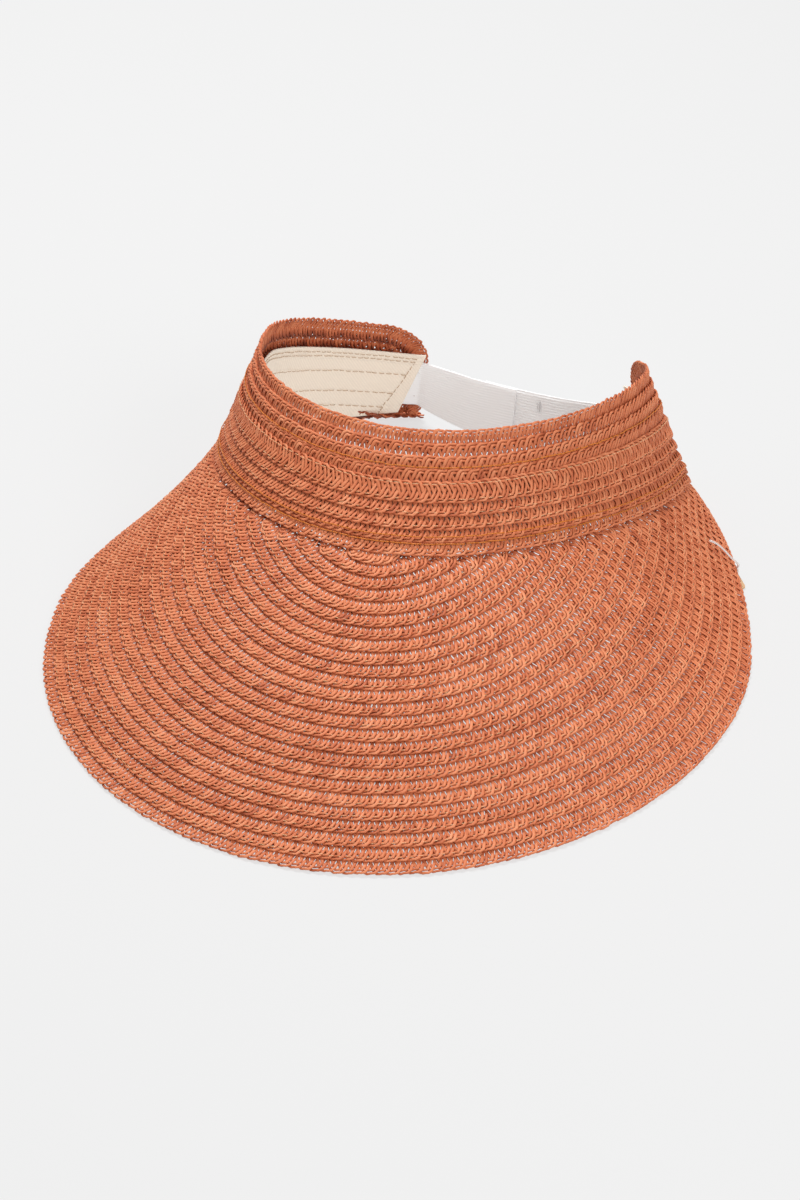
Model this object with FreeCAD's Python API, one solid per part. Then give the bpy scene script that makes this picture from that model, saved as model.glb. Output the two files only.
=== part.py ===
"""Roll-up sun visor sewn from plaited paper-straw braid, lying on its brim with the back strap closed.

Frame: millimetres, +Z up, -Y is the front of the brim, +X the right-hand side seen from the front.
Left and right are always as seen from the front. The origin is on the table, below the middle of
the visor's overall length and width.
Angles run round the visor from the front (0) towards +X, so the open back is near 180 degrees.
"""

import FreeCAD
import Part
import math
import os

# braid
ROW_PITCH = 5.2            # distance from one sewn row to the next
BRAID_THICKNESS = 1.5      # one layer of plaited straw
WIDE_ROW = 9.0             # the one band row whose whole width shows
ROW_GAP = 0.24             # clearance between the modelled rows
BRIM_ROWS = 25
BAND_ROWS_ABOVE = 4        # rows above the wide one
BAND_ROWS_BELOW = 4        # rows below it
BAND_HEIGHT = (BAND_ROWS_ABOVE + BAND_ROWS_BELOW) * ROW_PITCH + WIDE_ROW

# outer edge of the brim, flat on the table: an ellipse in front, a fuller tail behind
OUTER_CENTRE_Y = -10.6
OUTER_HALF_WIDTH = 138.0
OUTER_FRONT_REACH = 152.0
OUTER_LEFT_REACH = 190.0
OUTER_RIGHT_REACH = 215.0
OUTER_BACK_POWER = 1.6
RIM_LIFT = 0.3             # height of the rim's middle surface, so that its lower corner is cut flat
RIM_WAVE = 3.0             # the rim lifts off the table over the hang tag, and draws in a little
RIM_WAVE_ANGLE = 117.4     # where, as the outer edge's own parameter
RIM_WAVE_SPREAD = 6.5
RIM_WAVE_DRAW = 0.35       # inwards for each millimetre up

# lower edge of the band: half width, front reach, back reach, centre, and height terms that
# multiply 1, cos a, cos 2a, cos 3a
LOWER_EDGE = (95.0, 134.0, 74.0, 83.9, (32.2, 33.4, 2.35, -2.9))
# upper edge of the band, the same way
UPPER_EDGE = (76.0, 91.0, 70.0, 76.4, (78.9, 25.6, -4.8, 0.2))

# ends of the band, in degrees from the front
LEFT_END = -159.5
RIGHT_END = 130.0
END_RADIUS = 19.0          # rounding of the band's upper back corners

# lining, with the strap's sewn ends between it and the band
LINING_THICKNESS = 1.0
LINING_TOP = 11.0          # depth of its folded top edge below the band's upper edge
LINING_BOTTOM = 46.6
LINING_POCKET = 1.7        # room between the lining and the band
LINING_SET_BACK = 2.0      # its ends stop short of the band's ends at the top
LINING_SLANT = 9.0         # and this much more at the bottom
LINING_THREAD_INSET = 0.012  # its stitch lines stop short of its ends by this fraction of its length
LINING_END_THREAD = 0.006    # and the stitch line down each end is this far in

# strap of woven tape
STRAP_WIDTH = 25.0
STRAP_THICKNESS = 0.9
STRAP_LAP_GAP = 0.25       # between the two tapes where they lie on each other
STRAP_ROOT = 12.0          # length of tape sewn in under the lining
LEFT_STRAP_DEPTH = 30.0    # depth of the tape's middle below the band's upper edge
RIGHT_STRAP_DEPTH = 33.0
LEFT_TAPE_REACH = 0.41     # where the left tape's cut end lies along the gap
RIGHT_TAPE_REACH = 0.74    # how far the right tape runs back under it
TAPE_SAG = 11.0            # how far their middle hangs below it
TAPE_BOW = 5.0             # how far the straps bow out behind the straight line
TAPE_LEAN = 0.25           # how much their upper edges lean out at mid run
BARTACK_REACH = 0.11       # how far past the left tape's end it lies, as a part of the gap
BARTACK_DEPTH = 8.0        # from the tape's upper edge to its lower end
BARTACK_LENGTH = 5.0
BARTACK_RADIUS = 0.35

# threads
THREAD = 0.5
THREAD_CLEARANCE = 0.06
BRIM_THREAD_CLEARANCE = 0.2
LINING_THREAD_CLEARANCE = 0.35
STITCH_SET_IN = 1.6        # from a brim row's outer edge
THREAD_END_ROOM = 5.0      # between a brim thread's ends and the band

# hang tag, lying on the table with one long side out from under the brim
TAG_CORNER = (125.5, 59.7)  # its front outer corner
TAG_TURN = 29.1            # degrees from +Y to its long side
TAG_WIDTH = 20.0
TAG_LENGTH = 34.0
TAG_THICKNESS = 0.6
TAG_CORNER_RADIUS = 2.0
TAG_BASE = 0.4             # height of its underside
TAG_HOLE = 1.5             # radius
TAG_HOLE_PLACE = (7.0, 9.0)  # back from its front end and in from its outer side
LOOP_ANGLE = 77.5          # where the plastic loop that ties it on lies round the brim
LOOP = 0.7                 # its thickness
# the loop's path over the brim: distance up from the rim, and height off the middle surface
LOOP_TOP = ((19.5, 1.35), (17.6, 2.2), (11.0, 2.9), (5.0, 2.9), (1.2, 2.5))
# and on from the rim to the hole: distance out from the rim, as a part of the way back in, and height
LOOP_END = ((-0.13, 4.5), (-0.19, 3.1), (-0.08, 1.95), (0.3, 1.7), (0.9, 1.65))

LOWER_EDGE_CLEARANCE = 1.3  # from the brim's inner edge to the band's middle surface
LINING_OFFSET = -(BRAID_THICKNESS / 2 + LINING_POCKET + LINING_THICKNESS / 2)
STRAP_LAP = STRAP_THICKNESS + STRAP_LAP_GAP

STATIONS = 48              # sections along a long row


def vec(x, y, z):
    return FreeCAD.Vector(x, y, z)


def unit(v):
    return v.multiply(1.0 / v.Length)


def edge_point(edge, a):
    """Point of a band edge at angle a in degrees."""
    half_width, front, back, centre_y, terms = edge
    t = math.radians(a)
    reach = front if math.cos(t) > 0 else back
    height = sum(term * math.cos(k * t) for k, term in enumerate(terms))
    return vec(half_width * math.sin(t), centre_y - reach * math.cos(t), height)


def outer_point(a):
    """Point of the brim's outer edge at its own parameter angle a."""
    t = math.radians(a)
    s, c = math.sin(t), math.cos(t)
    if c > 0:
        return vec(OUTER_HALF_WIDTH * s, OUTER_CENTRE_Y - OUTER_FRONT_REACH * c, RIM_LIFT)
    power = 2.0 / OUTER_BACK_POWER
    x = math.copysign(OUTER_HALF_WIDTH * abs(s) ** power, s)
    reach = OUTER_RIGHT_REACH if s > 0 else OUTER_LEFT_REACH
    wave = RIM_WAVE * math.exp(-((a - RIM_WAVE_ANGLE) / RIM_WAVE_SPREAD) ** 2)
    return vec(x - RIM_WAVE_DRAW * wave, OUTER_CENTRE_Y + reach * abs(c) ** power, RIM_LIFT + wave)


def nearest_outer(p):
    """Parameter of the point of the outer edge nearest to p, by a coarse search and then halving."""
    best = min(range(-178, 180, 2), key=lambda a: (outer_point(a) - p).Length)
    step = 1.0
    while step > 1e-5:
        choices = (best - step, best, best + step)
        best = min(choices, key=lambda a: (outer_point(a) - p).Length)
        step *= 0.6
    return best


class Ruling:
    """Straight line of the brim's surface from its outer edge up to the band's lower edge."""

    def __init__(self, a):
        top = edge_point(LOWER_EDGE, a)
        t = nearest_outer(top)
        self.foot = outer_point(t)
        self.length = (top - self.foot).Length
        self.direction = unit(top - self.foot)
        along = outer_point(t + 0.5) - outer_point(t - 0.5)
        normal = unit(along.cross(self.direction))
        self.normal = normal if normal.z > 0 else normal * -1.0

    def at(self, s):
        return self.foot + self.direction * s


def band_point(a, depth):
    """Middle-surface point of the band, depth below its upper edge at angle a."""
    top, low = edge_point(UPPER_EDGE, a), edge_point(LOWER_EDGE, a)
    return top + (low - top) * (depth / BAND_HEIGHT)


def band_normal(a):
    """Outward normal of the band at angle a."""
    down = edge_point(LOWER_EDGE, a) - edge_point(UPPER_EDGE, a)
    along = band_point(a + 0.5, BAND_HEIGHT / 2) - band_point(a - 0.5, BAND_HEIGHT / 2)
    return unit(down.cross(along))


def band_step(a):
    """Millimetres round the band's middle per degree."""
    return (band_point(a + 0.5, BAND_HEIGHT / 2) - band_point(a - 0.5, BAND_HEIGHT / 2)).Length


def from_left_end(x):
    """Angle that lies x millimetres in from the band's left end."""
    return LEFT_END + x / band_step(LEFT_END)


def from_right_end(x):
    """Angle that lies x millimetres in from the band's right end."""
    return RIGHT_END - x / band_step(RIGHT_END)


def spread(low, high, count):
    return [low + (high - low) * i / (count - 1) for i in range(count)]


def spline(points):
    curve = Part.BSplineCurve()
    curve.interpolate(points)
    return curve.toShape()


def strip(side_a, side_b, normals, thickness):
    """Closed ribbon between two lists of middle-surface points."""
    half = thickness / 2
    rails = []
    for side in (side_a, side_b):
        for sign in (1, -1):
            rails.append([p + n * (sign * half) for p, n in zip(side, normals)])
    a_out, a_in, b_out, b_in = [spline(r) for r in rails]
    faces = [
        Part.makeRuledSurface(a_out, b_out),
        Part.makeRuledSurface(a_in, b_in),
        Part.makeRuledSurface(a_out, a_in),
        Part.makeRuledSurface(b_out, b_in),
    ]
    for end in (0, -1):
        a_line = Part.makeLine(rails[0][end], rails[1][end])
        b_line = Part.makeLine(rails[2][end], rails[3][end])
        faces.append(Part.makeRuledSurface(a_line, b_line))
    shell = Part.Shell(faces)
    shell.sewShape()
    solid = Part.Solid(shell)
    if solid.Volume < 0:
        solid.reverse()
    return solid


def thread(line, size=THREAD):
    """Thread drawn down square against the cloth, along a list of (point, sideways, normal)."""
    half = size / 2
    side_a = [p + sideways * half for p, sideways, _ in line]
    side_b = [p - sideways * half for p, sideways, _ in line]
    return strip(side_a, side_b, [n for _, _, n in line], size)


def export(name, shape):
    shape.exportStep(os.path.join("parts", name + ".step"))


# ---- brim ----

def row_limits(rulings, start):
    """First and last angle at which the brim is wide enough for a row that starts at this distance."""
    least = start + 1.0 + LOWER_EDGE_CLEARANCE
    angles = [a for a, ruling in rulings if ruling.length >= least]
    return angles[0], angles[-1]


def brim_row(rulings, number):
    start = (number - 1) * ROW_PITCH + (ROW_GAP / 2 if number > 1 else 0.0)
    finish = number * ROW_PITCH - ROW_GAP / 2
    low, high = row_limits(rulings, start)
    outer, inner, normals = [], [], []
    for a in spread(low, high, STATIONS):
        ruling = Ruling(a)
        outer.append(ruling.at(start))
        inner.append(ruling.at(min(finish, ruling.length - LOWER_EDGE_CLEARANCE)))
        normals.append(ruling.normal)
    row = strip(outer, inner, normals, BRAID_THICKNESS)
    if number == 1:
        below_table = Part.makeBox(400, 500, 10, vec(-200, -250, -10))
        row = row.cut(below_table)
    return row


def brim_stitching(rulings):
    """Lockstitch that holds each row down on the row outside it; the last row is held by the band."""
    threads = []
    lift = BRAID_THICKNESS / 2 + THREAD / 2 + BRIM_THREAD_CLEARANCE
    for number in range(1, BRIM_ROWS - 1):
        at = number * ROW_PITCH + STITCH_SET_IN
        low, high = row_limits(rulings, at + THREAD_END_ROOM)
        line = []
        for a in spread(low, high, STATIONS):
            ruling = Ruling(a)
            line.append((ruling.at(at) + ruling.normal * lift, ruling.direction, ruling.normal))
        threads.append(thread(line))
    return Part.makeCompound(threads)


# ---- band ----

def corner_set_in(depth, offset):
    """Distance in from the band's end of a line that runs parallel to its rounded outline."""
    radius = END_RADIUS - offset
    if depth >= END_RADIUS:
        return offset
    rise = END_RADIUS - depth
    return END_RADIUS - math.sqrt(max(radius * radius - rise * rise, 0.0))


def outline(offset):
    """Points (angle, depth) round the left end, along the top and down the right end."""
    radius = END_RADIUS - offset
    corner = [(END_RADIUS - radius * math.cos(t), END_RADIUS - radius * math.sin(t))
              for t in spread(0.0, math.pi / 2, 9)]
    legs = [(offset, depth) for depth in spread(BAND_HEIGHT, END_RADIUS + 6.0, 5)]
    end = legs + corner
    left = [(from_left_end(x), d) for x, d in end]
    right = [(from_right_end(x), d) for x, d in reversed(end)]
    top = [(a, offset) for a in spread(left[-1][0], right[0][0], STATIONS)[1:-1]]
    return left + top + right


def band_edge_row():
    """Row that runs up one end of the band, along the top and down the other end."""
    outer = outline(0.0)
    inner = outline(ROW_PITCH - ROW_GAP)
    normals = [band_normal((a + b) / 2) for (a, _), (b, _) in zip(outer, inner)]
    return strip([band_point(a, d) for a, d in outer], [band_point(a, d) for a, d in inner],
                 normals, BRAID_THICKNESS)


def band_row(top, bottom):
    """Row between two depths, which stops at the row that edges the band's ends."""
    sides = []
    for depth in (top, bottom - ROW_GAP):
        set_in = corner_set_in(depth, ROW_PITCH) + ROW_GAP
        sides.append([(a, depth) for a in spread(from_left_end(set_in), from_right_end(set_in), STATIONS)])
    upper, lower = sides
    normals = [band_normal((a + b) / 2) for (a, _), (b, _) in zip(upper, lower)]
    return strip([band_point(a, d) for a, d in upper], [band_point(a, d) for a, d in lower],
                 normals, BRAID_THICKNESS)


def band_row_edges():
    """Depths of the seams between the band's rows, from the top."""
    depths = [i * ROW_PITCH for i in range(BAND_ROWS_ABOVE + 1)]
    depths += [depths[-1] + WIDE_ROW + i * ROW_PITCH for i in range(BAND_ROWS_BELOW + 1)]
    return depths


def band_place(a, depth, outward):
    """Point off the band's middle surface, with the directions down the band and out of it."""
    down = unit(edge_point(LOWER_EDGE, a) - edge_point(UPPER_EDGE, a))
    normal = band_normal(a)
    return band_point(a, depth) + normal * outward, down, normal


def band_line(depth, outward, set_in):
    """Line round the band at a depth, standing off its middle surface."""
    angles = spread(from_left_end(set_in), from_right_end(set_in), STATIONS)
    return [band_place(a, depth, outward) for a in angles]


# ---- lining ----

def lining_place(f, depth, inward):
    """Point inside the lining's middle surface, a fraction f of the way along it, with its normal."""
    u = (depth - LINING_TOP) / (LINING_BOTTOM - LINING_TOP)
    points = []
    angles = []
    for level, set_back in ((LINING_TOP, LINING_SET_BACK), (LINING_BOTTOM, LINING_SET_BACK + LINING_SLANT)):
        first, last = from_left_end(set_back), from_right_end(set_back)
        a = first + (last - first) * f
        points.append(band_point(a, level) + band_normal(a) * LINING_OFFSET)
        angles.append(a)
    normal = band_normal(sum(angles) / 2)
    return points[0] + (points[1] - points[0]) * u - normal * inward, normal


def lining():
    """Fabric strip inside the band, whose ends slope in towards the bottom."""
    upper, lower = ([lining_place(f, depth, 0.0) for f in spread(0.0, 1.0, STATIONS)]
                    for depth in (LINING_TOP, LINING_BOTTOM))
    return strip([p for p, _ in upper], [p for p, _ in lower], [n for _, n in upper], LINING_THICKNESS)


def lining_thread(places):
    """Stitch line on the lining's inner face, through a list of (fraction along, depth)."""
    inward = (LINING_THICKNESS + THREAD) / 2 + LINING_THREAD_CLEARANCE
    line = [lining_place(f, depth, inward) for f, depth in places]
    points = [p for p, _ in line]
    threaded = []
    for before, (here, normal), after in zip(points[:1] + points, line, points[1:] + points[-1:]):
        threaded.append((here, unit(normal.cross(after - before)), normal))
    return thread(threaded)


def lining_long_thread(depth):
    fractions = spread(LINING_THREAD_INSET, 1.0 - LINING_THREAD_INSET, STATIONS)
    return lining_thread([(f, depth) for f in fractions])


def lining_end_thread(f):
    return lining_thread([(f, depth) for depth in spread(LINING_TOP + 5.0, LINING_BOTTOM - 4.5, 6)])


# ---- strap ----

def strap_frame(end_angle, x):
    """Middle point, up direction and outward normal of a tape sewn in x millimetres from an end."""
    depth = LEFT_STRAP_DEPTH if end_angle is from_left_end else RIGHT_STRAP_DEPTH
    middle, down, normal = band_place(end_angle(x), depth, -(BRAID_THICKNESS + LINING_POCKET) / 2)
    return middle, down * -1.0, normal


def tape(frames):
    """Ribbon of strap tape through a list of (middle, up, normal)."""
    half = STRAP_WIDTH / 2
    upper = [p + up * half for p, up, _ in frames]
    lower = [p - up * half for p, up, _ in frames]
    return strip(upper, lower, [n for _, _, n in frames], STRAP_THICKNESS)


def strap_mouth(end_angle):
    """Where a tape comes out from under the lining."""
    return strap_frame(end_angle, LINING_SET_BACK + 1.0)


def root_tape(end_angle):
    """Sewn end of the tape, between the lining and the band."""
    return tape([strap_frame(end_angle, LINING_SET_BACK + 1.3 + x)
                 for x in spread(0.0, STRAP_ROOT, 4)])


def gap_point(t):
    """Middle line of the straps from the left mouth (0) to the right one (1), sagging and bowed out."""
    left, _, left_normal = strap_mouth(from_left_end)
    right, _, right_normal = strap_mouth(from_right_end)
    swell = 4 * t * (1 - t)
    out = unit(left_normal + right_normal)
    return left + (right - left) * t + out * (TAPE_BOW * swell) - vec(0, 0, TAPE_SAG * swell)


def gap_frame(t, inward):
    """Middle point, up direction and outward normal of a strap at place t, shifted inward."""
    _, left_up, left_normal = strap_mouth(from_left_end)
    _, right_up, right_normal = strap_mouth(from_right_end)
    along = unit(gap_point(t + 0.01) - gap_point(t - 0.01))
    lean = (left_normal + right_normal) * (TAPE_LEAN * 4 * t * (1 - t))
    up = left_up * (1 - t) + right_up * t + lean
    normal = unit(up.cross(along))
    normal = normal if normal.y > 0 else normal * -1.0
    up = unit(along.cross(normal))
    up = up if up.z > 0 else up * -1.0
    return gap_point(t) - normal * inward, up, normal


def left_tape():
    """Free part of the left tape, which lies over the right one on the inside."""
    frames = [gap_frame(t, STRAP_LAP * min(1.0, max(0.0, t - 0.05) / 0.15))
              for t in spread(0.03, LEFT_TAPE_REACH, 12)]
    return tape(frames)


def right_tape():
    """Free part of the right tape, which runs on under the left one."""
    frames = [gap_frame(1.0 - t, 0.0) for t in spread(0.03, RIGHT_TAPE_REACH, 12)]
    return tape(frames)


def bartack():
    """Dense thread bar on the right tape, just past the left tape's end."""
    middle, up, normal = gap_frame(LEFT_TAPE_REACH + BARTACK_REACH, 0.0)
    face = middle - normal * (STRAP_THICKNESS / 2 + THREAD_CLEARANCE + BARTACK_RADIUS)
    low = face + up * (STRAP_WIDTH / 2 - BARTACK_DEPTH)
    return Part.makeCylinder(BARTACK_RADIUS, BARTACK_LENGTH, low, up)


# ---- hang tag ----

def tag_place(back, inward, height):
    """Point by the tag: back from its front outer corner, in under the brim, and up from the table."""
    t = math.radians(TAG_TURN)
    corner = vec(TAG_CORNER[0], TAG_CORNER[1], height)
    return corner + vec(-math.sin(t), math.cos(t), 0) * back + vec(-math.cos(t), -math.sin(t), 0) * inward


def hang_tag():
    """Card tag with rounded corners and a punched hole near its front end."""
    corners = [(0.0, 0.0), (TAG_LENGTH, 0.0), (TAG_LENGTH, TAG_WIDTH), (0.0, TAG_WIDTH), (0.0, 0.0)]
    border = Part.makePolygon([tag_place(x, y, TAG_BASE) for x, y in corners])
    card = Part.Face(border).extrude(vec(0, 0, TAG_THICKNESS))
    uprights = [e for e in card.Edges if e.BoundBox.ZLength > TAG_THICKNESS / 2]
    card = card.makeFillet(TAG_CORNER_RADIUS, uprights)
    hole = Part.makeCylinder(TAG_HOLE, TAG_THICKNESS + 2.0, tag_place(*TAG_HOLE_PLACE, TAG_BASE - 1.0))
    return card.cut(hole)


def tag_fastener():
    """Plastic loop that comes out of the braid, over the rim, and in under it to the tag's hole."""
    ruling = Ruling(LOOP_ANGLE)
    path = [ruling.at(along) + ruling.normal * lift for along, lift in LOOP_TOP]
    hole = tag_place(*TAG_HOLE_PLACE, 0.0)
    inward = vec(hole.x - ruling.foot.x, hole.y - ruling.foot.y, 0.0)
    for part, height in LOOP_END:
        path.append(vec(ruling.foot.x, ruling.foot.y, height) + inward * part)
    path.append(hole + vec(0, 0, TAG_BASE))
    sideways = unit(inward.cross(vec(0, 0, 1)))
    line = []
    for before, here, after in zip(path[:1] + path, path, path[1:] + path[-1:]):
        line.append((here, sideways, unit(sideways.cross(after - before))))
    return thread(line, LOOP)


def main():
    os.makedirs("parts", exist_ok=True)
    rulings = [(a / 2.0, Ruling(a / 2.0)) for a in range(int(2 * LEFT_END), int(2 * RIGHT_END) + 1)]

    for number in range(1, BRIM_ROWS + 1):
        export("brim_row_%02d" % number, brim_row(rulings, number))
    export("brim_stitching", brim_stitching(rulings))

    export("band_row_1", band_edge_row())
    edges = band_row_edges()
    for i in range(1, len(edges) - 1):
        export("band_row_%d" % (i + 1), band_row(edges[i], edges[i + 1]))

    proud = BRAID_THICKNESS / 2 + THREAD / 2 + THREAD_CLEARANCE
    inset = ROW_PITCH + 1.0
    for name, depth in (("upper", 3 * ROW_PITCH), ("middle", BAND_HEIGHT - 1.6 * ROW_PITCH),
                        ("lower", BAND_HEIGHT - ROW_PITCH)):
        export("band_thread_" + name, thread(band_line(depth, proud, inset)))

    export("lining", lining())
    for name, depth in (("top_upper", LINING_TOP + 2.2), ("top_lower", LINING_TOP + 4.2),
                        ("middle_upper", LINING_TOP + 12.5), ("middle_lower", LINING_TOP + 24.0),
                        ("bottom", LINING_BOTTOM - 3.0)):
        export("lining_thread_" + name, lining_long_thread(depth))
    export("lining_thread_left_end", lining_end_thread(LINING_END_THREAD))
    export("lining_thread_right_end", lining_end_thread(1.0 - LINING_END_THREAD))

    export("left_strap_root", root_tape(from_left_end))
    export("right_strap_root", root_tape(from_right_end))
    export("left_strap", left_tape())
    export("right_strap", right_tape())
    export("right_strap_bartack", bartack())

    export("hang_tag", hang_tag())
    export("tag_fastener", tag_fastener())


main()
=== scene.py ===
"""Looks of the roll-up straw sun visor: plaited braid, stitching, lining, tape straps and hang tag.

Everything is in metres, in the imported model's frame. Each row of braid is plaited along the edges of
its CAD strip, and the lining and the straps are cloth laid along the edges of theirs.
"""

import math

import bmesh
import bpy
import numpy as np
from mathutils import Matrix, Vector


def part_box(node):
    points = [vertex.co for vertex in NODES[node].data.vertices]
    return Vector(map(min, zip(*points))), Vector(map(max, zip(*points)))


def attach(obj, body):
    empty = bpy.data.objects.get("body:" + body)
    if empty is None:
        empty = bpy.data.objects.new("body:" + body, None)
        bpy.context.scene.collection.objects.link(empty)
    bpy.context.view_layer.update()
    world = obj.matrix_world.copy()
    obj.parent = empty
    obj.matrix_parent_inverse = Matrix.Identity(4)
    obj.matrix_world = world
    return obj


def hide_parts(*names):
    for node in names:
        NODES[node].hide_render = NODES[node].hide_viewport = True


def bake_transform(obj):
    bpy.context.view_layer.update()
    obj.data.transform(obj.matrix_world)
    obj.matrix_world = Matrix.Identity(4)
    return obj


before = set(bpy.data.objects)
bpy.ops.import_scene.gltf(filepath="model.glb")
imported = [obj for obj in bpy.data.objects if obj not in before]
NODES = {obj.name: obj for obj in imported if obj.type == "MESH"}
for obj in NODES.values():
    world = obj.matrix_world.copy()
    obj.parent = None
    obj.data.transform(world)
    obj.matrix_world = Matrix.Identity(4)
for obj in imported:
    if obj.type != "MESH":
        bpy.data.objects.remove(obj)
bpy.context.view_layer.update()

MM = 0.001
TURN = 2 * math.pi

# braid
BRAID_WIDTH = 9.0 * MM
PLAIT_LENGTH = 12.0 * MM        # of one whole turn of a strand
TOP_PLAIT_LENGTH = 9.6 * MM     # the same along the band's free edge, where the plait is tighter
RIBBONS = (-1, 1)               # each strand is two ribbons of straw side by side
RIBBON_WIDTH = 1.22 * MM        # across a float
RIBBON_EDGE_WIDTH = 0.95 * MM   # where it folds back at the braid's edge
RIBBON_SPACING = 0.62           # of a ribbon's middle from the strand's middle, in ribbon widths
STRAND_THICKNESS = 0.5 * MM
STRAND_RISE = 0.42 * MM         # how far a strand passes over and under
EDGE_RUN = 0.15                 # how long a strand runs on along the edge before it turns back
SHINGLE = 0.25                  # slope of each row, whose edge lies over the next one
EDGE_CURL = 0.35 * MM           # how far the braid's edges curl down
BRIM_ROWS = 25
HALF_STRIP = 0.75 * MM          # from a CAD row's face to its middle
COVERED = 2.6 * MM              # how much of a row lies under its neighbour
RIM_PAINTED_SHADE = 0.30                # painted shade: how much darker a ribbon is at its rims, where the gaps between ribbons fall
UNDER_PAINTED_SHADE = 0.22              # and painted shade where it passes under another strand
CREVICE_PAINTED_SHADE = 0.55            # and painted shadow where its row goes under the edge of the next
MIDDLE_TONE = 0.62              # shade of an ordinary ribbon, from 0 dark to 1 light
TUCK = 6 * MM                   # over which a braid is gathered and sinks at its ends
END_SPREAD = 0.45               # how much of its width its strands still take up there
END_SIZE = 0.7                  # and how much of theirs its ribbons keep
END_SHIFT = 0.8 * MM            # how far its end goes in under the next row
END_SINK = 0.9 * MM
CROWDING = 0.22                 # how far a strand's rings crowd together where it turns back
CURL_WIDTH = 1.3 * MM           # width of the braid's curled edges
CREVICE_WIDTH = 1.6 * MM        # over which the painted shadow on a row's covered side fades in

# how uneven the plait is: period along it, and size
SWAY = (45 * MM, 0.10 * MM)     # the braid from side to side
LIFT = (25 * MM, 0.06 * MM)     # and up and down
SWING = (4.1 * MM, 0.16 * MM)   # a strand across the braid
STRAND_LIFT = (4.1 * MM, 0.05 * MM)
STRAND_TONE = (6 * MM, 0.12)
RIBBON_LIFT = (3.7 * MM, 0.05 * MM)
RIBBON_SIZE = (3.3 * MM, 0.10)
RIBBON_TONE = (5 * MM, 0.08)

HEAD_LOW, HEAD_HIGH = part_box("lining")
HEAD_CENTRE = np.array([0.0, (HEAD_LOW.y + HEAD_HIGH.y) / 2, 0.0])


# ---- lines along the CAD strips ----

def unit(v):
    return v / np.linalg.norm(v, axis=-1, keepdims=True)


def away_from_head(points, rise):
    """Directions that point out from the head's axis, tilted up by rise."""
    out = (points - HEAD_CENTRE) * (1.0, 1.0, 0.0)
    return unit(unit(out) + np.array([0.0, 0.0, rise]))


def smooth_sides(mesh):
    """Groups of faces of a strip that meet without a corner, the largest first."""
    bm = bmesh.new()
    bm.from_mesh(mesh)
    bmesh.ops.remove_doubles(bm, verts=bm.verts, dist=2e-6)
    bmesh.ops.dissolve_degenerate(bm, edges=bm.edges, dist=1e-7)
    waiting = set(bm.faces)
    sides = []
    while waiting:
        side = []
        queue = [waiting.pop()]
        while queue:
            face = queue.pop()
            side.append(face)
            for edge in face.edges:
                if edge.calc_face_angle(TURN) < 0.7:
                    found = [f for f in edge.link_faces if f in waiting]
                    waiting.difference_update(found)
                    queue.extend(found)
        sides.append(side)
    sides.sort(key=lambda side: -sum(f.calc_area() for f in side))
    return bm, sides


def border_of(side):
    """The points round a group of faces, in order."""
    inside = set(side)
    beside = {}
    for face in side:
        for edge in face.edges:
            if sum(f in inside for f in edge.link_faces) == 1:
                a, b = edge.verts
                beside.setdefault(a, []).append(b)
                beside.setdefault(b, []).append(a)
    first = next(iter(beside))
    loop = [first]
    before, here = None, first
    while True:
        ahead = [v for v in beside[here] if v is not before][0]
        if ahead is first:
            return np.array([v.co[:] for v in loop])
        loop.append(ahead)
        before, here = here, ahead


def rails(node, rise=0.0, sign=1.0):
    """The two long edges of a strip's outer face (or inner, with sign -1), each from left to right."""
    bm, sides = smooth_sides(NODES[node].data)

    def outwardness(side):
        middles = np.array([f.calc_center_median()[:] for f in side])
        normals = np.array([f.normal[:] for f in side])
        areas = np.array([f.calc_area() for f in side])
        return sign * float(((normals * away_from_head(middles, rise)).sum(1) * areas).sum())

    loop = border_of(max(sides[:2], key=outwardness))
    bm.free()
    steps = unit(np.roll(loop, -1, 0) - loop)
    turns = -(steps * np.roll(steps, 1, 0)).sum(1)
    corners = sorted(np.argsort(turns)[-4:])
    lines = []
    for a, b in zip(corners, corners[1:] + corners[:1]):
        count = (b - a) % len(loop)
        lines.append(np.take(loop, range(a, a + count + 1), axis=0, mode="wrap"))
    lines.sort(key=lambda line: -np.linalg.norm(np.diff(line, axis=0), axis=1).sum())
    turned = []
    for line in lines[:2]:
        bearing = np.arctan2(line[:, 0], HEAD_CENTRE[1] - line[:, 1])
        turned.append(line if bearing[0] < bearing[-1] else line[::-1])
    return turned


SPACING = 0.5 * MM


def run_of(points):
    """Distance along a line of points, at each of them."""
    return np.concatenate([[0.0], np.cumsum(np.linalg.norm(np.diff(points, axis=0), axis=1))])


def evened(points, window):
    """Points at even spacing along a line of straight runs, whose corners are rounded over window."""
    at = run_of(points)
    even = np.linspace(0.0, at[-1], max(int(at[-1] / SPACING), 24) + 1)
    line = np.stack([np.interp(even, at, points[:, k]) for k in range(3)], 1)
    return softened(line, window)


def softened(line, window):
    """Rows of an array averaged over window, with both ends kept."""
    half = min(int(window / SPACING / 2), len(line) - 2)
    weights = np.hanning(2 * half + 3)[1:-1]
    weights /= weights.sum()
    head = 2 * line[0] - line[half:0:-1]
    tail = 2 * line[-1] - line[-2:-half - 2:-1]
    whole = np.concatenate([head, line, tail])
    return np.stack([np.convolve(whole[:, k], weights, "valid") for k in range(line.shape[1])], 1)


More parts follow.
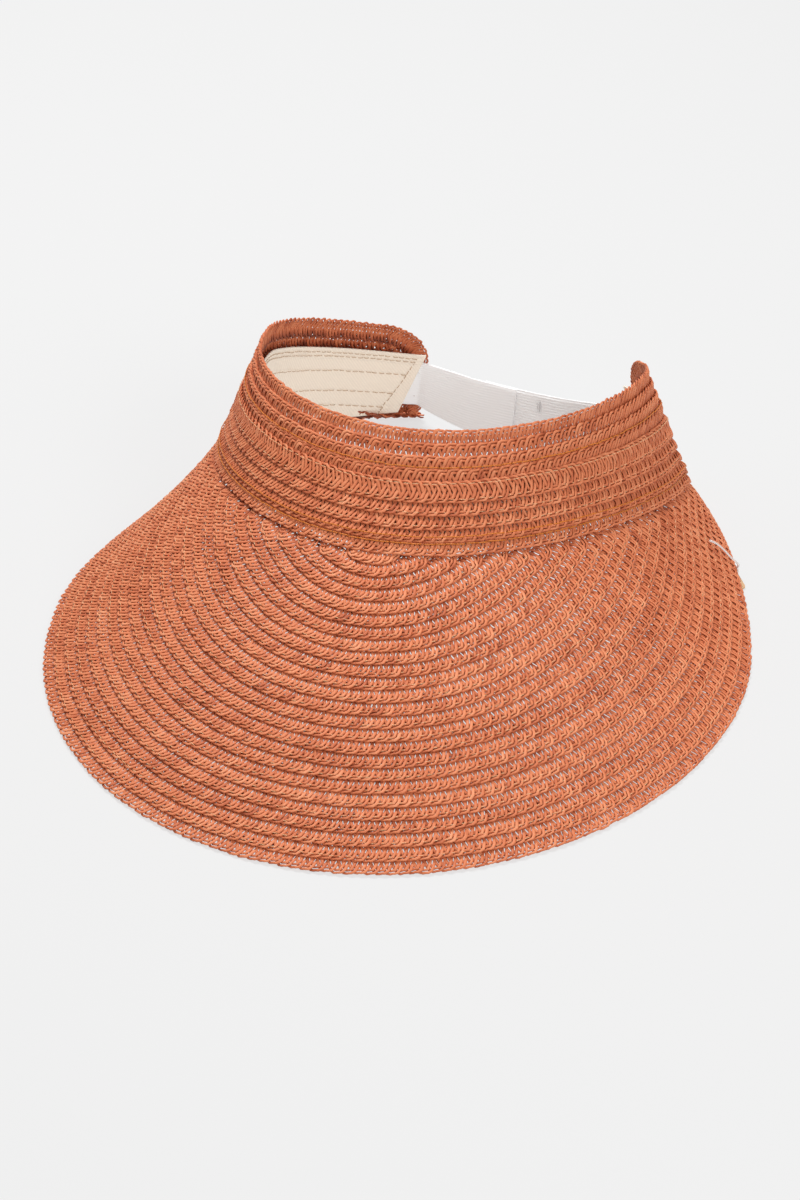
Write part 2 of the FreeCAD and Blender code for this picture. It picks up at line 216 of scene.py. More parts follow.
class Strip:
    """A line along one edge of a strip, with the directions across the strip and out of its face."""

    def __init__(self, edge, other, rise=0.0, window=8 * MM):
        self.points = evened(edge, window)
        facing = evened(other, window)
        gaps = ((self.points[:, None] - facing[None]) ** 2).sum(-1)
        reach = facing[gaps.argmin(1)] - self.points
        along = unit(np.gradient(self.points, axis=0))
        across = unit(softened(unit(reach - along * (reach * along).sum(1)[:, None]), window))
        out = np.cross(along, across)
        reference = away_from_head(self.points, rise)
        if (out * reference).sum() < 0:
            out = -out
        self.along, self.across, self.out = along, across, unit(softened(out, window))
        self.width = float(np.sqrt(gaps.min(1)).mean())
        self.at = run_of(self.points)
        self.length = float(self.at[-1])

    def _look_up(self, table, s):
        return np.stack([np.interp(s, self.at, table[:, k]) for k in range(3)], -1)

    def place(self, s, x, z):
        """Points s along the edge (it runs on straight past its ends), x across and z out."""
        past = s - np.clip(s, 0.0, self.length)
        return (self._look_up(self.points, s)
                + self._look_up(self.along, s) * past[..., None]
                + self._look_up(self.across, s) * x[..., None]
                + self._look_up(self.out, s) * z[..., None])

    def outward(self, s):
        return self._look_up(self.out, s)


# ---- meshes ----

def mesh_object(name, vertices, quads, uvs, shade=None):
    """Mesh piece from arrays, with a UV map in millimetres and a shade per vertex, which holds tone and
    painted shade.
    """
    mesh = bpy.data.meshes.new(name)
    mesh.vertices.add(len(vertices))
    mesh.vertices.foreach_set("co", np.ascontiguousarray(vertices, np.float32).ravel())
    mesh.loops.add(quads.size)
    mesh.loops.foreach_set("vertex_index", np.ascontiguousarray(quads, np.int32).ravel())
    mesh.polygons.add(len(quads))
    mesh.polygons.foreach_set("loop_start", np.arange(0, quads.size, 4, dtype=np.int32))
    mesh.update(calc_edges=True)
    mesh.validate()
    mesh.shade_smooth()
    layer = mesh.uv_layers.new(name="cloth")
    layer.data.foreach_set("uv", np.ascontiguousarray(uvs[quads.ravel()], np.float32).ravel())
    if shade is not None:
        shades = mesh.attributes.new("shade", "FLOAT", "POINT")
        shades.data.foreach_set("value", shade.astype(np.float32))
    obj = bpy.data.objects.new(name, mesh)
    bpy.context.scene.collection.objects.link(obj)
    return obj


def tube_quads(rings, sides, first):
    """Faces of a closed tube of rings, capped at both ends, whose vertices start at index first."""
    ring = np.arange(rings - 1)[:, None] * sides
    side = np.arange(sides)[None]
    ahead = (side + 1) % sides
    corners = [ring + side, ring + ahead, ring + sides + ahead, ring + sides + side]
    walls = np.stack(corners, -1).reshape(-1, 4)
    half = np.arange(sides // 2 - 1)
    cap = np.stack([half, half + 1, sides - 2 - half, sides - 1 - half], -1)
    far = cap[:, ::-1] + (rings - 1) * sides
    return np.concatenate([walls[:, ::-1], cap, far]) + first


def wobble(rng, length, period, size):
    """Smooth random function of distance, repeatable for one generator."""
    count = int(length / period) + 6
    values = rng.normal(0.0, size, count)
    knots = (np.arange(count) - 2) * period
    return lambda s: np.interp(s, knots, values)


def step(x, at, over):
    """0 before at, 1 after it, smoothly within over."""
    t = np.clip((x - at) / over + 0.5, 0.0, 1.0)
    return t * t * (3 - 2 * t)


def hump(x, at, width):
    """1 at this place, falling smoothly to 0 on both sides."""
    return np.exp(-(((x - at) / width) ** 2))


# section of a ribbon of straw: (across, out) in halves of its size
RIBBON_OUTLINE = np.array([(-1.0, 0.0), (-0.75, 0.75), (0.0, 1.0), (0.75, 0.75),
                           (1.0, 0.0), (0.75, -0.75), (0.0, -1.0), (-0.75, -0.75)])
SAMPLES = 16                    # rings in one turn of a strand


def shingle_height(x, slope):
    """How far the braid's middle lies off the CAD strip's middle, x in from the edge that shows."""
    edge = hump(x, 0.0, CURL_WIDTH) + hump(x, BRAID_WIDTH, CURL_WIDTH)
    return slope * (BRAID_WIDTH / 2 - x) - EDGE_CURL * edge


class Batch:
    """Tubes gathered into one mesh."""

    def __init__(self):
        self.vertices, self.quads, self.uvs, self.shades = [], [], [], []
        self.count = 0

    def tube(self, centre, side, out, half_widths, half_heights, outline, uv_start=(0.0, 0.0), tone_and_painted_shade=0.5,
             rim_painted_shade=0.0):
        """Tube with this section along a line, whose UV map is in millimetres."""
        rings = (centre[:, None] + side[:, None] * (outline[:, 0] * half_widths[:, None])[..., None]
                 + out[:, None] * (outline[:, 1] * half_heights[:, None])[..., None])
        sides = len(outline)
        self.vertices.append(rings.reshape(-1, 3))
        self.quads.append(tube_quads(len(centre), sides, self.count))
        self.count += len(centre) * sides
        run = run_of(centre) / MM
        round_it = np.arange(sides) * 0.45
        u, v = np.broadcast_arrays(run[:, None] + uv_start[0], round_it[None] + uv_start[1])
        self.uvs.append(np.stack([u, v], -1).reshape(-1, 2))
        # painted shade darkens each ribbon towards its rims
        tones_and_painted_shade = np.broadcast_to(tone_and_painted_shade, len(centre))[:, None] - rim_painted_shade * (outline[:, 0] ** 4)[None]
        self.shades.append(tones_and_painted_shade.ravel())

    def piece(self, name):
        return mesh_object(name, np.concatenate(self.vertices), np.concatenate(self.quads),
                           np.concatenate(self.uvs), np.concatenate(self.shades))


def plait(name, strip, turn, seed, overrun=0.0, slope=SHINGLE, rise=0.0, length=PLAIT_LENGTH,
          crevice_painted_shade=CREVICE_PAINTED_SHADE):
    """Three-strand flat plait along a strip. turn is 1 or -1, the way its strands run.

    length is that of one whole turn of a strand, and the crevice argument is how much darker the painted
    shadow makes the covered side.
    """
    rng = np.random.default_rng(seed)
    low, high = -overrun, strip.length + overrun
    reach = high + overrun
    turns = (high - low) / length
    count = max(int(turns * SAMPLES), 12)
    start_angle = rng.uniform(0, TURN)
    sway = wobble(rng, reach, *SWAY)
    lift = wobble(rng, reach, *LIFT)
    made = Batch()
    for strand in range(3):
        u = np.linspace(0.0, turns * TURN, count)
        phase = turn * start_angle + TURN * strand / 3
        # rings crowd together where the strand turns back
        angle = u + CROWDING * np.sin(2 * (u + phase))
        s = low + angle / TURN * length
        angle = turn * (angle + phase)
        ends = step(np.minimum(s - low, high - s), TUCK / 2, TUCK)
        swing = (BRAID_WIDTH - 2 * RIBBON_EDGE_WIDTH) / 2 + wobble(rng, reach, *SWING)(s)
        wave = (np.sin(angle) + EDGE_RUN * np.sin(3 * angle)) / (1 - EDGE_RUN / 2)
        x = BRAID_WIDTH / 2 - swing * wave * (END_SPREAD + (1 - END_SPREAD) * ends)
        x = x + sway(s) + (1 - ends) * END_SHIFT
        z = STRAND_RISE * np.sin(2 * angle) + lift(s) + shingle_height(x, slope) - HALF_STRIP + rise
        z = z + wobble(rng, reach, *STRAND_LIFT)(s) - (1 - ends) * END_SINK
        centre = strip.place(s, x, z)
        along = unit(np.gradient(centre, axis=0))
        side = unit(np.cross(strip.outward(s), along))
        out = np.cross(along, side)
        folded = np.sin(angle) ** 4
        widths = RIBBON_WIDTH + (RIBBON_EDGE_WIDTH - RIBBON_WIDTH) * folded
        widths = widths * (END_SIZE + (1 - END_SIZE) * ends)
        # random tone of the strand; painted shade is subtracted from it below
        tone_and_painted_shade = rng.normal(0.0, 0.08) + wobble(rng, reach, *STRAND_TONE)(s)
        # painted shade where the strand passes under another
        tone_and_painted_shade = tone_and_painted_shade - UNDER_PAINTED_SHADE * (0.5 - 0.5 * np.sin(2 * angle))
        # painted shadow along the side of the row that lies under the next row's edge
        tone_and_painted_shade = tone_and_painted_shade - crevice_painted_shade * step(x, BRAID_WIDTH - COVERED, CREVICE_WIDTH)
        for ribbon in RIBBONS:
            own = widths * (1 + wobble(rng, reach, *RIBBON_SIZE)(s))
            apart = ribbon * RIBBON_SPACING * widths
            bob = wobble(rng, reach, *RIBBON_LIFT)(s)
            made.tube(centre + side * apart[:, None] + out * bob[:, None], side, out, own / 2,
                      STRAND_THICKNESS / 2 * (1 + 0.35 * folded), RIBBON_OUTLINE,
                      (37.0 * seed, 9.0 * strand + 4.0 * ribbon),
                      MIDDLE_TONE + tone_and_painted_shade + wobble(rng, reach, *RIBBON_TONE)(s), RIM_PAINTED_SHADE)
    return made.piece(name)


THREAD_OUTLINE = np.array([(math.cos(TURN * k / 6), math.sin(TURN * k / 6)) for k in range(6)])


def stitch_line(made, strip, x, z, seed, pitch, length, radius, inset=0.0, sink=0.45 * MM, sign=1.0):
    """Row of stitches x in from a strip's edge, which rise out of the cloth and go back into it."""
    rng = np.random.default_rng(seed)
    starts = np.arange(inset, strip.length - inset - length, pitch)
    for start in starts + rng.normal(0.0, 0.06 * pitch, len(starts)):
        t = np.linspace(0.0, 1.0, 7)
        s = start + t * length
        arch = z - sink * (2 * t - 1) ** 6 + rng.normal(0.0, 0.03 * MM)
        drift = x + rng.normal(0.0, 0.08 * MM) + (t - 0.5) * rng.normal(0.0, 0.12 * MM)
        centre = strip.place(s, drift, sign * arch)
        along = unit(np.gradient(centre, axis=0))
        side = unit(np.cross(strip.outward(s), along))
        radii = np.full(len(t), radius)
        made.tube(centre, side, np.cross(along, side), radii, radii, THREAD_OUTLINE,
                  (start / MM, 0.0), 0.5 + rng.normal(0.0, 0.15))


def sheet_grid(edge, other, columns, levels, facing):
    """Points on the ruled surface between two lines, the distances along and across, and its normals."""
    lines = []
    share = np.linspace(0, 1, columns)
    for line in (edge, other):
        even = evened(line, 2 * MM)
        at = np.linspace(0, 1, len(even))
        lines.append(np.stack([np.interp(share, at, even[:, k]) for k in range(3)], 1))
    v = np.linspace(0.0, 1.0, levels)[None, :, None]
    points = lines[0][:, None] * (1 - v) + lines[1][:, None] * v
    normals = unit(np.cross(np.gradient(points, axis=0), np.gradient(points, axis=1)))
    if (normals * facing(points)).sum() < 0:
        normals = -normals
    steps = np.linalg.norm(np.diff(points, axis=0), axis=2)
    along = np.concatenate([np.zeros((1, levels)), np.cumsum(steps, axis=0)])
    drop = np.linalg.norm(np.diff(points, axis=1), axis=2)
    across = np.concatenate([np.zeros((columns, 1)), np.cumsum(drop, axis=1)], axis=1)
    return points, normals, along, across


def cloth(name, points, normals, along, across, relief, thickness):
    """Slab of cloth with its front face relief off the grid, and its back face behind that."""
    columns, levels = across.shape
    front = points + normals * relief[..., None]
    back = points + normals * (relief - thickness)[..., None]
    index = np.arange(columns * levels).reshape(columns, levels)
    a, b, c, d = index[:-1, :-1], index[1:, :-1], index[1:, 1:], index[:-1, 1:]
    face = np.stack([a, b, c, d], -1).reshape(-1, 4)
    rim = np.concatenate([index[:, 0], index[-1, 1:], index[-2::-1, -1], index[0, -2:0:-1]])
    ahead = np.roll(rim, -1)
    offset = columns * levels
    border = np.stack([rim, rim + offset, ahead + offset, ahead], -1)
    wound = np.cross(points[1, 0] - points[0, 0], points[0, 1] - points[0, 0])
    if (wound * normals[0, 0]).sum() < 0:
        face, border = face[:, ::-1], border[:, ::-1]
    quads = np.concatenate([face, face[:, ::-1] + offset, border])
    uv = np.stack([along, across], -1).reshape(-1, 2) / MM
    return mesh_object(name, np.concatenate([front.reshape(-1, 3), back.reshape(-1, 3)]), quads,
                       np.concatenate([uv, uv]))


# ---- materials ----

def linear(*values):
    """Linear colour from 8-bit sRGB values."""
    return tuple((v / 255 / 12.92) if v < 11 else ((v / 255 + 0.055) / 1.055) ** 2.4 for v in values)


STRAW = linear(212, 122, 80)
STRAW_DARK = linear(178, 88, 52)
# darkest straw, reached mostly where painted shade darkens the ribbons
STRAW_PAINTED_SHADE = linear(104, 44, 24)
STRAW_LIGHT = linear(230, 154, 112)
PALE_THREAD = linear(240, 190, 142)
ORANGE_THREAD = linear(214, 120, 30)
LINING = linear(255, 242, 224)
LINING_THREAD = linear(214, 184, 152)
TAPE = linear(254, 254, 254)
CARD = linear(206, 168, 128)
PLASTIC = linear(250, 244, 240)


def material(name):
    made = bpy.data.materials.new(name)
    made.use_nodes = True
    tree = made.node_tree
    return made, tree, tree.nodes["Principled BSDF"]


def node(tree, kind, **inputs):
    """New node with some inputs set by name or number."""
    made = tree.nodes.new(kind)
    for key, value in inputs.items():
        socket = made.inputs[int(key[1:])] if key[1:].isdigit() else made.inputs[key.replace("_", " ")]
        if isinstance(value, bpy.types.NodeSocket):
            tree.links.new(value, socket)
        else:
            socket.default_value = value
    return made


def maths(tree, operation, a, b):
    made = node(tree, "ShaderNodeMath", i0=a, i1=b)
    made.operation = operation
    return made.outputs[0]


def weighted(tree, a, share_a, b, share_b):
    """Sum of two values, each times its share."""
    return maths(tree, "ADD", maths(tree, "MULTIPLY", a, share_a), maths(tree, "MULTIPLY", b, share_b))


def scaled(tree, source, *factors):
    made = node(tree, "ShaderNodeVectorMath", i0=source, i1=factors)
    made.operation = "MULTIPLY"
    return made.outputs[0]


def cloth_chart(tree):
    """The piece's own UV map, which is in millimetres."""
    made = tree.nodes.new("ShaderNodeUVMap")
    made.uv_map = "cloth"
    return made.outputs["UV"]


def object_chart(tree):
    """Place on a CAD node, in millimetres."""
    place = tree.nodes.new("ShaderNodeTexCoord").outputs["Object"]
    return scaled(tree, place, 1 / MM, 1 / MM, 1 / MM)


def stretched_noise(tree, chart, along, across, detail=3.0):
    """Noise over a chart, with this many waves to a millimetre each way."""
    made = node(tree, "ShaderNodeTexNoise", Vector=scaled(tree, chart, along, across, 1.0),
                Scale=1.0, Detail=detail)
    return made.outputs["Fac"]


def bands(tree, place, direction, scale, distortion=0.0):
    made = node(tree, "ShaderNodeTexWave", Vector=place, Scale=scale, Distortion=distortion)
    made.bands_direction = direction
    return made.outputs["Fac"]


def darker(colour, share):
    return tuple(share * c for c in colour)


def ramp(tree, value, stops):
    made = tree.nodes.new("ShaderNodeValToRGB")
    elements = made.color_ramp.elements
    while len(elements) < len(stops):
        elements.new(0.5)
    for element, (at, colour) in zip(elements, stops):
        element.position = at
        element.color = (*colour, 1.0)
    tree.links.new(value, made.inputs["Fac"])
    return made.outputs["Color"]


def bump(tree, height, strength, distance):
    made = node(tree, "ShaderNodeBump", Height=height, Strength=strength, Distance=distance)
    return made.outputs["Normal"]


def straw_material():
    """Dyed paper straw: matt, with streaks along each strand, a tone of its own per stretch, and painted
    shade at ribbon rims, under crossings and along covered row sides.
    """
    made, tree, surface = material("straw")
    tone_and_painted_shade = tree.nodes.new("ShaderNodeAttribute")
    tone_and_painted_shade.attribute_name = "shade"
    chart = cloth_chart(tree)
    streaks = stretched_noise(tree, chart, 0.22, 3.2, 4.0)
    fibres = stretched_noise(tree, chart, 1.4, 9.0, 2.0)
    blended = weighted(tree, tone_and_painted_shade.outputs["Fac"], 0.45, streaks, 0.55)
    # the low stops are reached mostly through the painted shade held in the shade value
    stops = ((0.08, STRAW_PAINTED_SHADE), (0.3, STRAW_DARK), (0.5, STRAW), (0.8, STRAW_LIGHT))
    tree.links.new(ramp(tree, blended, stops), surface.inputs["Base Color"])
    rough = maths(tree, "ADD", 0.48, maths(tree, "MULTIPLY", fibres, 0.25))
    tree.links.new(rough, surface.inputs["Roughness"])
    surface.inputs["Specular IOR Level"].default_value = 0.35
    both = weighted(tree, streaks, 1.0, fibres, 0.5)
    tree.links.new(bump(tree, both, 0.7, 0.12 * MM), surface.inputs["Normal"])
    return made


def thread_material(name, colour):
    """Twisted sewing thread: fine slanting ridges."""
    made, tree, surface = material(name)
    twist = bands(tree, scaled(tree, cloth_chart(tree), 1.1, 1.1, 1.0), "DIAGONAL", 1.0)
    stops = ((0.0, darker(colour, 0.72)), (0.6, colour))
    tree.links.new(ramp(tree, twist, stops), surface.inputs["Base Color"])
    surface.inputs["Roughness"].default_value = 0.45
    tree.links.new(bump(tree, twist, 0.5, 0.08 * MM), surface.inputs["Normal"])
    return made


# ---- the straw rows ----

def dress(obj, look, body="visor"):
    obj.data.materials.append(look)
    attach(obj, body)
    return obj


UPWARD = 0.8                    # upward tilt that tells a brim strip's upper face


def brim_edges(number):
    """Outer and inner edge of a brim row; the outer one is nearer the floor."""
    return sorted(rails("brim_row_%02d" % number, UPWARD), key=lambda line: line[:, 2].mean())


def brim_strip(number):
    if number == 2:
        # it runs along the inner edge of the first row, which has the same ends
        outer, inner = brim_edges(1)
        first = Strip(outer, inner, UPWARD)
        return Strip(inner, first.points + first.across * (2 * first.width), UPWARD)
    return Strip(*brim_edges(number), UPWARD)


def band_strip(number, upper):
    edge, other = rails("band_row_%d" % number)
    if (edge[:, 2].mean() < other[:, 2].mean()) == upper:
        edge, other = other, edge
    return Strip(edge, other)


straw = straw_material()
brim_strips = {n: brim_strip(n) for n in range(1, BRIM_ROWS + 1)}
for number, strip in brim_strips.items():
    row = plait("brim_plait_%02d" % number, strip, -1, number)
    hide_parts("brim_row_%02d" % number)
    dress(row, straw)

BAND_ROWS = 9
FIRST_LOWER_ROW = 5             # rows from here down show their lower edge, those above their upper edge
band_strips = {n: band_strip(n, n < FIRST_LOWER_ROW) for n in range(1, BAND_ROWS + 1)}
for number, strip in band_strips.items():
    turn = 1 if number < FIRST_LOWER_ROW else -1
    # the band row whose upper edge shows whole gets no painted shadow
    shape = dict(slope=0.0, rise=0.75 * MM, crevice_painted_shade=0.0) if number == FIRST_LOWER_ROW else {}
    # the row that edges the band's ends covers the ends of the others
    under = dict(length=TOP_PLAIT_LENGTH) if number == 1 else dict(overrun=3 * MM)
    row = plait("band_plait_%d" % number, strip, turn, 40 + number, **shape, **under)
    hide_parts("band_row_%d" % number)
    dress(row, straw)


# ---- threads ----

def stitches(name, lines, colour, replaced=()):
    """One piece of all the stitches along some lines."""
    made = Batch()
    for k, (strip, x, z, options) in enumerate(lines):
        stitch_line(made, strip, x, z, 500 + 7 * k + len(name), **options)
    obj = made.piece(name)
    if replaced:
        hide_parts(*replaced)
    return dress(obj, thread_material(name, colour))


SEWN_LINE = 1.6 * MM            # where a row is sewn down, in from its edge
SEAM = dict(pitch=3.7 * MM, length=2.6 * MM, radius=0.13 * MM, inset=4 * MM)
LONG = dict(pitch=4.1 * MM, length=3.9 * MM, radius=0.24 * MM, inset=6 * MM, sink=0.2 * MM)

stitches("brim_stitches", [(brim_strips[n], SEWN_LINE, 0.3 * MM, SEAM) for n in range(2, BRIM_ROWS)],
         PALE_THREAD, ["brim_stitching"])
stitches("band_stitches", [(band_strips[n], SEWN_LINE, 0.3 * MM, SEAM) for n in (5, 6, 7)]
         + [(band_strips[5], BRAID_WIDTH - SEWN_LINE, 0.9 * MM, SEAM)], PALE_THREAD)
stitches("band_thread_high", [(band_strips[4], -0.3 * MM, 0.7 * MM, LONG)], ORANGE_THREAD,
         ["band_thread_upper"])
stitches("band_thread_mid", [(band_strips[8], 2.3 * MM, 0.95 * MM, LONG)], ORANGE_THREAD,
         ["band_thread_middle"])
stitches("band_thread_low", [(band_strips[8], -0.4 * MM, 0.6 * MM, LONG)], ORANGE_THREAD,
         ["band_thread_lower"])


# ---- lining ----

UNIT_BANDS = 0.314              # the wave texture's scale that makes its bands one unit apart


def weave_material(name, colour, dark_share, ridge_mm, yarn_mm, relief):
    """Woven cloth: slanting ridges so far apart along and across it, with a finer weave over them."""
    made, tree, surface = material(name)
    chart = cloth_chart(tree)
    along, across = ridge_mm
    slanted = scaled(tree, chart, 1 / along, 1 / across, 1.0)
    ridges = bands(tree, slanted, "DIAGONAL", UNIT_BANDS, 0.6)
    yarn = bands(tree, scaled(tree, chart, 1 / yarn_mm, 1 / yarn_mm, 1.0), "Y", UNIT_BANDS, 1.5)
    height = weighted(tree, ridges, 0.7, yarn, 0.3)
    shade = weighted(tree, height, 0.6, stretched_noise(tree, chart, 0.5, 2.5), 0.5)
    stops = ((0.15, darker(colour, dark_share)), (0.75, colour))
    tree.links.new(ramp(tree, shade, stops), surface.inputs["Base Color"])
    surface.inputs["Roughness"].default_value = 0.85
    surface.inputs["Sheen Weight"].default_value = 0.15
    surface.inputs["Specular IOR Level"].default_value = 0.2
    tree.links.new(bump(tree, height, 0.6, relief), surface.inputs["Normal"])
    return made


def toward_head(points):
    return -away_from_head(points.reshape(-1, 3), 0.0).reshape(points.shape)


LINING_FOLD = 5.6 * MM          # depth of the folded top edge
LINING_FOLD_RISE = 0.35 * MM
HEM_DEPTH = 4.4 * MM            # of the folded bottom edge
HEM_RISE = 0.2 * MM
SEAM_SINK = 0.17 * MM           # how far the cloth is drawn in along a seam
PUCKER = 0.08 * MM              # and how far it gathers beside one
PUCKER_PERIOD = 4.6 * MM
LINING_SLANT = 9.0 * MM         # how much further in its ends are at the bottom
LINING_SEAMS = {"top_upper": 2.2 * MM, "top_lower": 4.2 * MM, "middle_upper": 12.5 * MM,
                "middle_lower": 24.0 * MM, "bottom": 32.6 * MM}
END_SEAM = 3.0 * MM             # in from the lining's slanting ends
LINING_STITCH = dict(pitch=2.9 * MM, length=2.1 * MM, radius=0.14 * MM, sink=0.3 * MM, sign=-1.0)


def lining_piece():
    top, low = sorted(rails("lining", sign=-1.0), key=lambda line: -line[:, 2].mean())
    points, normals, along, across = sheet_grid(top, low, 620, 73, toward_head)
    drop = across.max()
    rng = np.random.default_rng(81)
    length = along.max()
    hang = wobble(rng, length, 11 * MM, 0.9 * MM)(along) * (across / drop) ** 3
    points = points + unit(np.gradient(points, axis=1)) * hang[..., None]
    wave = wobble(rng, length, 17 * MM, 0.22 * MM)(along)
    fold = LINING_FOLD_RISE * (1 - step(across, LINING_FOLD, 0.9 * MM))
    hem = HEM_RISE * step(across, drop - HEM_DEPTH, 0.8 * MM)
    relief = fold + hem + wave * (0.3 + 0.7 * across / drop)
    for k, depth in enumerate(LINING_SEAMS.values()):
        pucker = np.sin(TURN * along / PUCKER_PERIOD + 1.7 * k + 9 * wave / MM)
        relief -= SEAM_SINK * hump(across, depth, 0.5 * MM)
        relief += PUCKER * hump(across, depth, 1.8 * MM) * pucker
    obj = cloth("lining_cloth", points, normals, along, across, relief, 0.6 * MM)
    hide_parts("lining")
    look = weave_material("lining_twill", LINING, 0.92, (0.8, 0.8), 0.35, 0.11 * MM)
    dress(obj, look)
    return obj, Strip(top, low, window=2 * MM), length, drop


def lining_seams(strip, drop):
    """The lining's stitch lines, on its inner face."""
    made = Batch()
    for depth in LINING_SEAMS.values():
        slant = LINING_SLANT * depth / drop
        height = 0.15 * MM + (LINING_FOLD_RISE if depth < LINING_FOLD else 0.0)
        stitch_line(made, strip, depth, height, int(depth / MM), inset=slant + END_SEAM, **LINING_STITCH)
    for end in (0, 1):
        x = np.linspace(1.5 * MM, drop - 3.0 * MM, 40)
        s = END_SEAM + LINING_SLANT * x / drop
        s = strip.length - s if end else s
        line = strip.place(s, x, np.zeros(40))
        beside = strip.place(s + 3 * MM, x, np.zeros(40))
        seam = Strip(line, beside, window=2 * MM)
        stitch_line(made, seam, 0.0, 0.12 * MM, 90 + end, **LINING_STITCH)
    obj = made.piece("lining_stitches")
    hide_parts(*["lining_thread_" + name for name in LINING_SEAMS], "lining_thread_left_end",
                "lining_thread_right_end")
    return dress(obj, thread_material("lining_stitches", LINING_THREAD))


lining, lining_strip, lining_length, lining_drop = lining_piece()
lining_stitches = lining_seams(lining_strip, lining_drop)


# ---- strap ----

TAPE_RIB = 1.25 * MM
SELVAGE = 0.7 * MM              # width of a tape's rounded edges
SELVAGE_DROP = 0.25 * MM


def strap_lines(root, free):
    """Low and high long edges of a tape from its sewn end, and the place where it leaves the lining."""
    frees = sorted(rails(free, sign=-1.0), key=lambda line: line[:, 2].mean())
    middle = sum(line.mean(0) for line in frees) / 2
    # the sewn piece is wider than it is long, so its longest edges run up the tape's width
    cuts = sorted(rails(root, sign=-1.0), key=lambda line: -np.linalg.norm(line.mean(0) - middle))
    inner, mouth = (sorted(line[[0, -1]], key=lambda end: end[2]) for line in cuts)
    lines = []
    for start, leaving, line in zip(inner, mouth, frees):
        if np.linalg.norm(line[0] - leaving) > np.linalg.norm(line[-1] - leaving):
            line = line[::-1]
        lines.append(np.concatenate([[start, leaving], line]))
    return *lines, sum(mouth) / 2


def strap_piece(name, root, free, rib_depth):
    """Tape from its sewn root to its cut end, which bends where the two CAD solids meet."""
    low, high, mouth = strap_lines(root, free)
    points, normals, along, across = sheet_grid(high, low, 150, 121, toward_head)
    width = across.max()
    ribs = rib_depth * np.cos(TURN * across / TAPE_RIB)
    rng = np.random.default_rng(len(name))
    wave = wobble(rng, along.max(), 9 * MM, 0.08 * MM)(along)
    edge = SELVAGE_DROP * (hump(across, 0.0, SELVAGE) + hump(across, width, SELVAGE))
    relief = ribs + wave - edge - 0.05 * MM
    obj = cloth(name, points, normals, along, across, relief, 0.8 * MM)
    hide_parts(root, free)
    obj.data.materials.append(weave_material(name, TAPE, 0.93, (8.0, 0.6), 0.45, 0.06 * MM))
    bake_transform(obj)


strap_piece("left_tape", "left_strap_root", "left_strap", 0.03 * MM)
strap_piece("right_tape", "right_strap_root", "right_strap", 0.07 * MM)


def bartack():
    """Dense zigzag of thread over the CAD bar."""
    co = np.array([v.co[:] for v in NODES["right_strap_bartack"].data.vertices])
    low = co[co[:, 2] < co[:, 2].min() + 0.4 * MM].mean(0)
    high = co[co[:, 2] > co[:, 2].max() - 0.4 * MM].mean(0)
    middle, half = (low + high) / 2, (high - low) / 2
    inward = toward_head(middle[None])[0]
    sideways = unit(np.cross(half, inward))
    passes = 22
    t = np.linspace(-1.0, 1.0, passes * 4 + 1)
    swing = np.abs((np.arange(len(t)) % 4) - 2) - 1.0
    line = middle + half * t[:, None] + sideways * (swing * 0.55 * MM)[:, None]
    along = unit(np.gradient(line, axis=0))
    side = unit(np.cross(inward[None], along))
    radii = np.full(len(t), 0.12 * MM)
    made = Batch()
    made.tube(line, side, np.cross(along, side), radii, radii, THREAD_OUTLINE)
    obj = made.piece("strap_bartack")
    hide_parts("right_strap_bartack")
    return dress(obj, thread_material("strap_bartack", TAPE), "right_strap")


bartack()


# ---- hang tag ----

def coat(name, look):
    mesh = NODES[name].data
    mesh.materials.clear()
    mesh.materials.append(look)


def card_material():
    """Plain kraft card with paper fibres and a slightly worn, uneven face."""
    made, tree, surface = material("kraft_card")
    chart = object_chart(tree)
    fibres = stretched_noise(tree, chart, 1.2, 6.0, 4.0)
    mixed = weighted(tree, stretched_noise(tree, chart, 0.3, 0.3), 0.5, fibres, 0.5)
    stops = ((0.3, darker(CARD, 0.82)), (0.6, CARD))
    tree.links.new(ramp(tree, mixed, stops), surface.inputs["Base Color"])
    surface.inputs["Roughness"].default_value = 0.75
    tree.links.new(bump(tree, fibres, 0.5, 0.05 * MM), surface.inputs["Normal"])
    return made


def plastic_material():
    """Clear-ish extruded filament with faint draw lines."""
    made, tree, surface = material("filament")
    lines = stretched_noise(tree, object_chart(tree), 0.8, 4.0, 2.0)
    stops = ((0.3, darker(PLASTIC, 0.9)), (0.7, PLASTIC))
    tree.links.new(ramp(tree, lines, stops), surface.inputs["Base Color"])
    rough = maths(tree, "ADD", 0.2, maths(tree, "MULTIPLY", lines, 0.2))
    tree.links.new(rough, surface.inputs["Roughness"])
    surface.inputs["Transmission Weight"].default_value = 0.15
    return made


coat("hang_tag", card_material())
coat("tag_fastener", plastic_material())


# ---- floor, light and camera ----

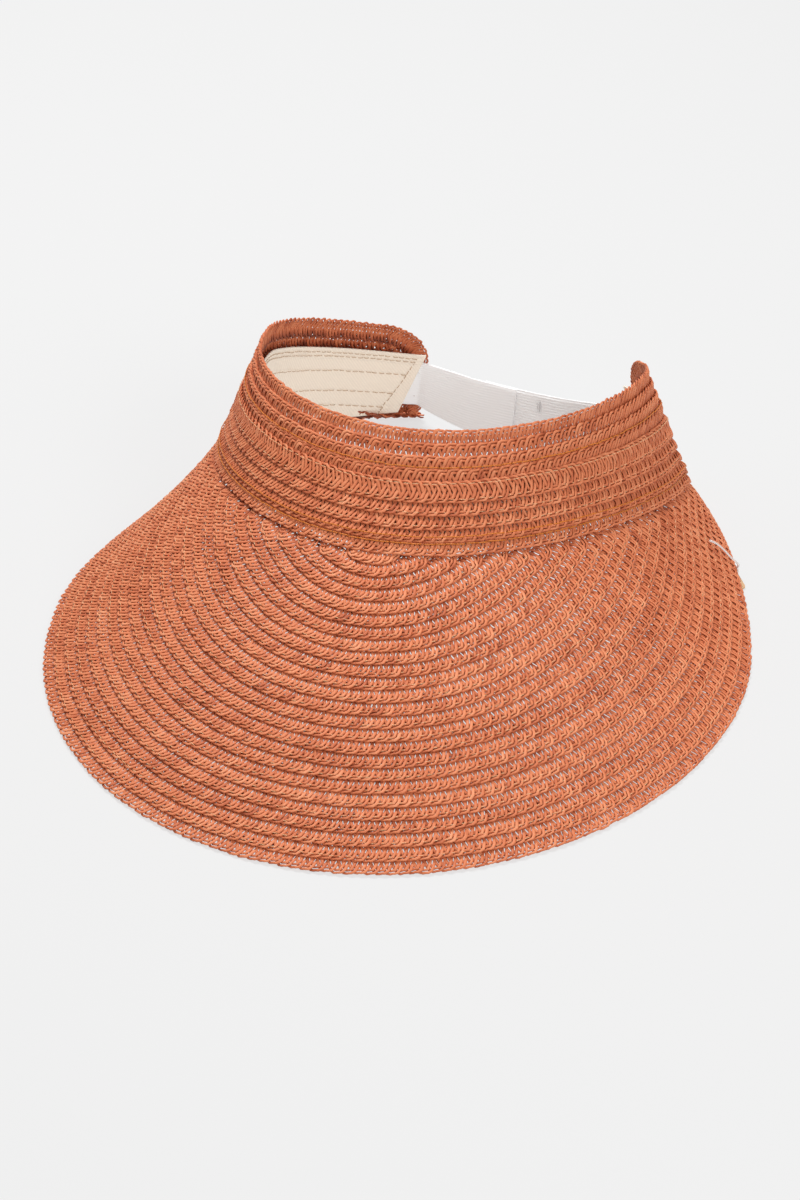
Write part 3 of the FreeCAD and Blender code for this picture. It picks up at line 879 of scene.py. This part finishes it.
def floor():
    mesh = bpy.data.meshes.new("floor")
    reach = 4.0
    corners = [(-reach, -reach, 0), (reach, -reach, 0), (reach, reach, 0), (-reach, reach, 0)]
    mesh.from_pydata(corners, [], [(0, 1, 2, 3)])
    obj = bpy.data.objects.new("floor", mesh)
    bpy.context.scene.collection.objects.link(obj)
    made, _, surface = material("floor")
    surface.inputs["Base Color"].default_value = (0.16, 0.16, 0.16, 1.0)
    surface.inputs["Roughness"].default_value = 1.0
    surface.inputs["Specular IOR Level"].default_value = 0.0
    surface.inputs["Emission Color"].default_value = (1.0, 1.0, 1.0, 1.0)
    surface.inputs["Emission Strength"].default_value = 0.66
    obj.data.materials.append(made)


LIGHT_AIM = Vector((0.0, 0.0, 0.03))


def soft_light(name, place, size, power):
    lamp = bpy.data.lights.new(name, "AREA")
    lamp.size = size
    lamp.energy = power
    obj = bpy.data.objects.new(name, lamp)
    obj.location = place
    towards = LIGHT_AIM - Vector(place)
    obj.rotation_euler = towards.to_track_quat("-Z", "Y").to_euler()
    bpy.context.scene.collection.objects.link(obj)


def daylight(strength):
    world = bpy.data.worlds.new("studio")
    world.use_nodes = True
    background = world.node_tree.nodes["Background"]
    background.inputs["Color"].default_value = (1.0, 1.0, 1.0, 1.0)
    background.inputs["Strength"].default_value = strength
    bpy.context.scene.world = world


CAMERA_AZIMUTH = math.radians(15.0)
CAMERA_ELEVATION = math.radians(33.7)
CAMERA_DISTANCE = 1.4
CAMERA_TARGET = Vector((2.6 * MM, -19.7 * MM, 25.0 * MM))
LENS = 162.4                    # millimetres, on a 36 mm wide sensor


def camera():
    lens = bpy.data.cameras.new("camera")
    lens.sensor_fit = "HORIZONTAL"
    lens.sensor_width = 36.0
    lens.lens = LENS
    obj = bpy.data.objects.new("camera", lens)
    back = Vector((math.sin(CAMERA_AZIMUTH) * math.cos(CAMERA_ELEVATION),
                   -math.cos(CAMERA_AZIMUTH) * math.cos(CAMERA_ELEVATION), math.sin(CAMERA_ELEVATION)))
    obj.location = CAMERA_TARGET + back * CAMERA_DISTANCE
    obj.rotation_euler = (-back).to_track_quat("-Z", "Y").to_euler()
    bpy.context.scene.collection.objects.link(obj)
    bpy.context.scene.camera = obj


floor()
daylight(0.40)
soft_light("key", (-0.35, 0.45, 1.3), 0.6, 18.0)
soft_light("fill", (0.9, -0.8, 0.9), 0.6, 9.5)
camera()
bpy.context.scene.view_settings.view_transform = "Standard"
